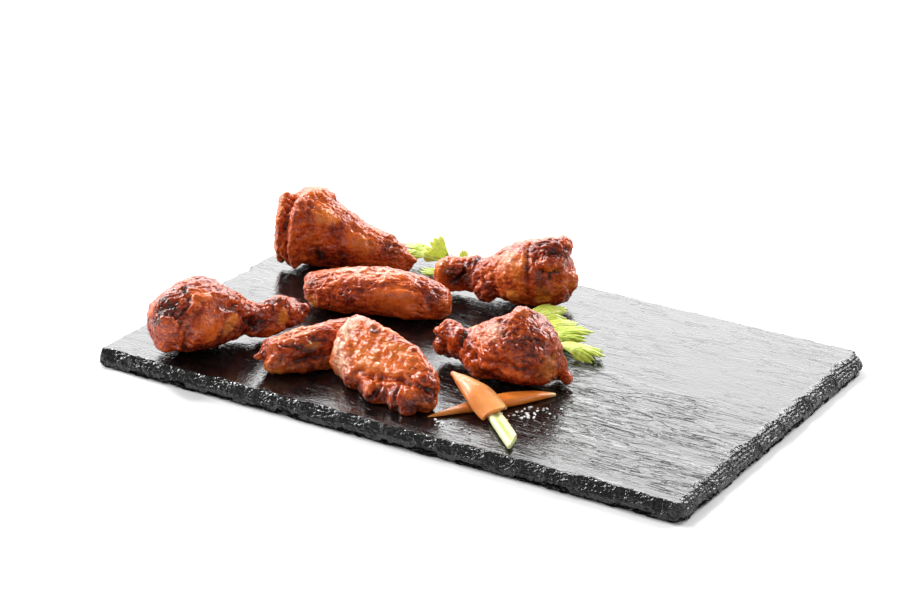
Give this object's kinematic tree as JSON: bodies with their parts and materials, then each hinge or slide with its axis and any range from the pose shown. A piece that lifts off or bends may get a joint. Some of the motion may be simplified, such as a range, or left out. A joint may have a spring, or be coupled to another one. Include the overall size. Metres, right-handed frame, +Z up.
{
  "type": "chicken wings serving on slate board",
  "caption": "Roasted and glazed chicken wing pieces scattered on a hand-cut slate board, garnished with celery leaves, a folded carrot slice, a carrot sliver and a celery stick.",
  "frame": {"origin": "middle of the slate board's flat underside", "axes": "+X along the board's long side, +Y towards its back, +Z up"},
  "size_m": [0.33, 0.2047, 0.0531],
  "materials": {
    "slate": "cleft slate with a soft sheen and a rough broken rim",
    "roast_skin": null,
    "celery_leaf": null,
    "carrot": null,
    "celery_stalk": null
  },
  "bodies": {
    "root": {"slate_board": "slate", "drumette_left": "roast_skin", "drumette_back": "roast_skin", "flat_middle": "roast_skin", "flat_lower": "roast_skin", "flat_front": "roast_skin", "drumette_right": "roast_skin", "drumette_near": "roast_skin", "celery_leaf_back": "celery_leaf", "celery_leaf_right": "celery_leaf", "carrot_hood": "carrot", "carrot_spindle": "carrot", "celery_stick": "celery_stalk"}
  },
  "joints": []
}
